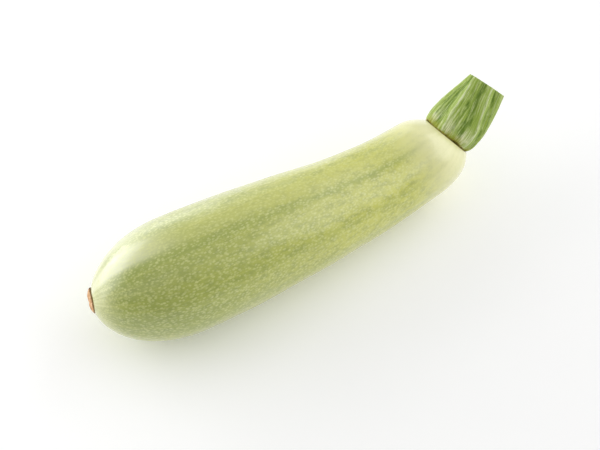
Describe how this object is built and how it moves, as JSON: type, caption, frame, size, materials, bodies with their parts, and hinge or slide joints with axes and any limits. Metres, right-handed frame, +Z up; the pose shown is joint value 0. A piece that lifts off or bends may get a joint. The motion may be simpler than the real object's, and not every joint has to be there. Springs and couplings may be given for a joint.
{
  "type": "courgette",
  "caption": "Pale-green courgette lying on its belly: plump blossom end with a dried scar, slim raised neck and a cut five-ridged stalk stump.",
  "frame": {"origin": "middle of the bounding box's underside, on the surface the courgette lies on", "axes": "+X along the courgette, from the blossom end towards the stalk; +Z up"},
  "size_m": [0.2004, 0.0506, 0.0496],
  "materials": {
    "skin": "satin, waxy courgette skin, pale yellow-green with cream speckles and lengthwise streaks",
    "stalk": "matte, fleshy green stalk with paler ridges and a pale cut end",
    "dried_scar": "matte, dry tan plant tissue with a brown rim"
  },
  "bodies": {
    "root": {"fruit": "skin", "stem": "stalk", "blossom_scar": "dried_scar"}
  },
  "joints": []
}
